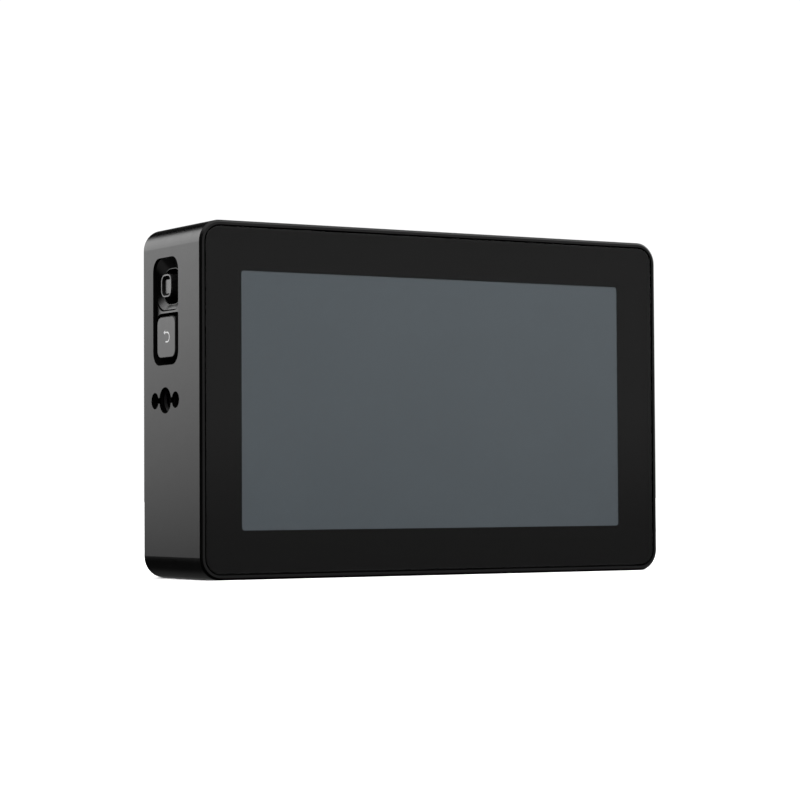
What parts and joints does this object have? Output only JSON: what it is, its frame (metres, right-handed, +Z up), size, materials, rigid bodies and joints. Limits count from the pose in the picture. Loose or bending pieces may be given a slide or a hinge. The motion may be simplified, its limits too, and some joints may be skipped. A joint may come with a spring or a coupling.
{
  "type": "on-camera field monitor",
  "caption": "Small flat camera monitor: framed glass screen, side stick and back key, threaded mounts and a rear battery bay.",
  "frame": {"origin": "centre of the base, on the surface the monitor stands on", "axes": "+X to the viewer's right, the longest side; +Y from the screen to the rear, the shortest side; +Z up"},
  "size_m": [0.134, 0.0314, 0.0858],
  "materials": {
    "housing_metal": "fine matt black powder coat",
    "glass": "polished",
    "black_film": "printed black border",
    "adhesive": "black foam tape",
    "display": "switched-off display, cool dark grey",
    "backlight": "stamped",
    "sheet_steel": "stamped",
    "screws": "plated",
    "black_screws": "black oxide",
    "ribbon": "polyimide film",
    "brass_posts": "turned",
    "circuit_board": "solder mask",
    "chip": "moulded",
    "heat_pad": "soft pad",
    "bare_aluminium": "extruded",
    "connector_plastic": "moulded",
    "ferrite": "sintered",
    "socket_metal": "plated",
    "inner_plastic": "moulded",
    "contact_metal": "gold plated",
    "key_plastic": "satin moulded",
    "stick_plastic": "satin moulded",
    "white_mark": "printed",
    "bezel_plastic": "fine texture",
    "nut_steel": "blackened",
    "cover_plastic": "fine texture",
    "plate_plastic": "fine texture",
    "wire_jacket": "insulated",
    "spring_steel": "music wire"
  },
  "bodies": {
    "chassis": {"housing": "housing_metal", "cover_glass": "glass", "border_film": "black_film", "glass_adhesive": "adhesive", "display_cell": "display", "backlight_unit": "backlight", "display_bracket": "sheet_steel", "bracket_screws": "screws", "display_ribbon": "ribbon", "touch_ribbon": "ribbon", "board_standoffs": "brass_posts", "main_board": "circuit_board", "board_screws": "screws", "processor": "chip", "heat_pad": "heat_pad", "heat_sink": "bare_aluminium", "heat_sink_screws": "screws", "ribbon_connectors": "connector_plastic", "power_coils": "ferrite", "hdmi_shell": "socket_metal", "hdmi_tongue": "inner_plastic", "phone_socket": "inner_plastic", "power_socket": "inner_plastic", "power_socket_pin": "contact_metal", "power_switch": "inner_plastic", "control_bezel": "bezel_plastic", "side_board": "circuit_board", "side_board_screws": "screws", "side_ribbon": "ribbon", "stick_base": "inner_plastic", "back_switch": "inner_plastic", "nut_plates": "nut_steel", "rear_cover": "cover_plastic", "cover_screws": "black_screws", "battery_plate": "plate_plastic", "plate_screws": "black_screws", "battery_contacts": "contact_metal", "contact_board": "circuit_board", "battery_wires": "wire_jacket", "release_spring": "spring_steel"},
    "stick_gimbal": {"stick_rocker": "sheet_steel"},
    "stick_lever": {"stick_stem": "sheet_steel"},
    "stick_knob": {"stick_cap": "stick_plastic"},
    "back_key": {"back_button": "key_plastic", "back_mark": "white_mark", "back_plunger": "key_plastic"},
    "power_key": {"power_button": "key_plastic", "power_mark": "white_mark", "power_plunger": "key_plastic"},
    "battery_latch": {"battery_release": "key_plastic"}
  },
  "joints": [
    {"name": "stick_fore_aft", "type": "hinge", "parent": "chassis", "child": "stick_gimbal", "pos_m": [-0.0594, 0.0029, 0.0711], "axis": [0, 0, 1], "range_deg": [-6, 6], "stiffness_Nm_per_rad": 0.02},
    {"name": "stick_up_down", "type": "hinge", "parent": "stick_gimbal", "child": "stick_lever", "pos_m": [-0.0594, 0.0029, 0.0711], "axis": [0, 1, 0], "range_deg": [-6, 6], "stiffness_Nm_per_rad": 0.02},
    {"name": "stick_press", "type": "slide", "parent": "stick_lever", "child": "stick_knob", "axis": [1, 0, 0], "range_m": [0, 0.0003], "stiffness_N_per_m": 2000, "springref_m": -0.0003},
    {"name": "back_key_press", "type": "slide", "parent": "chassis", "child": "back_key", "axis": [1, 0, 0], "range_m": [0, 0.0005], "stiffness_N_per_m": 2000, "springref_m": -0.0003},
    {"name": "power_key_press", "type": "slide", "parent": "chassis", "child": "power_key", "axis": [-1, 0, 0], "range_m": [0, 0.0006], "stiffness_N_per_m": 2000, "springref_m": -0.0003},
    {"name": "battery_release_press", "type": "slide", "parent": "chassis", "child": "battery_latch", "axis": [0, -1, 0], "range_m": [0, 0.0027], "stiffness_N_per_m": 1200, "springref_m": -0.001, "deforming": ["release_spring"]}
  ]
}
